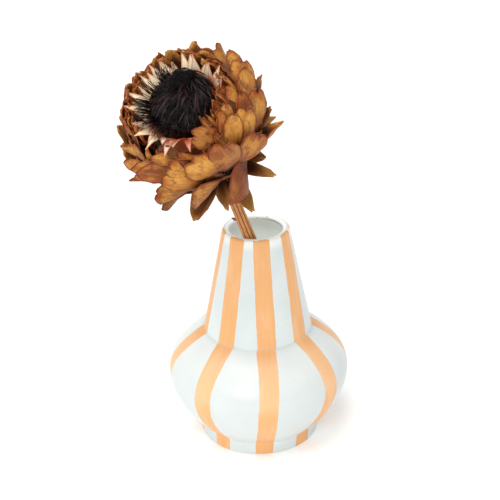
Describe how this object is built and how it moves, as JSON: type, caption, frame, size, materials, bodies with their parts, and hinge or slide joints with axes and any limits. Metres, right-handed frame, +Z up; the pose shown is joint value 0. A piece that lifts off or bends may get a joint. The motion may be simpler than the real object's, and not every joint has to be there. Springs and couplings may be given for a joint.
{
  "type": "dried artichoke flower in vase",
  "caption": "Dried artichoke head in bloom on a leaning ribbed stem, standing in a white bottle-shaped stoneware vase with painted vertical stripes.",
  "frame": {"origin": "centre of the vase's foot, on the surface it stands on", "axes": "+Z up along the vase's axis, -Y towards the front, where the flower head leans"},
  "size_m": [0.166, 0.1979, 0.3466],
  "materials": {
    "vase": "matt white glaze on stoneware with hand-painted apricot stripes",
    "stem": "dry ribbed flower stalk",
    "bracts": "dry leathery bracts, golden brown outside and dark brown inside",
    "inner_bracts": "dry papery straw-coloured bracts",
    "florets": "dry black-brown florets"
  },
  "bodies": {
    "root": {"vase": "vase", "stem": "stem", "bracts": "bracts", "inner_bracts": "inner_bracts", "florets": "florets"}
  },
  "joints": []
}
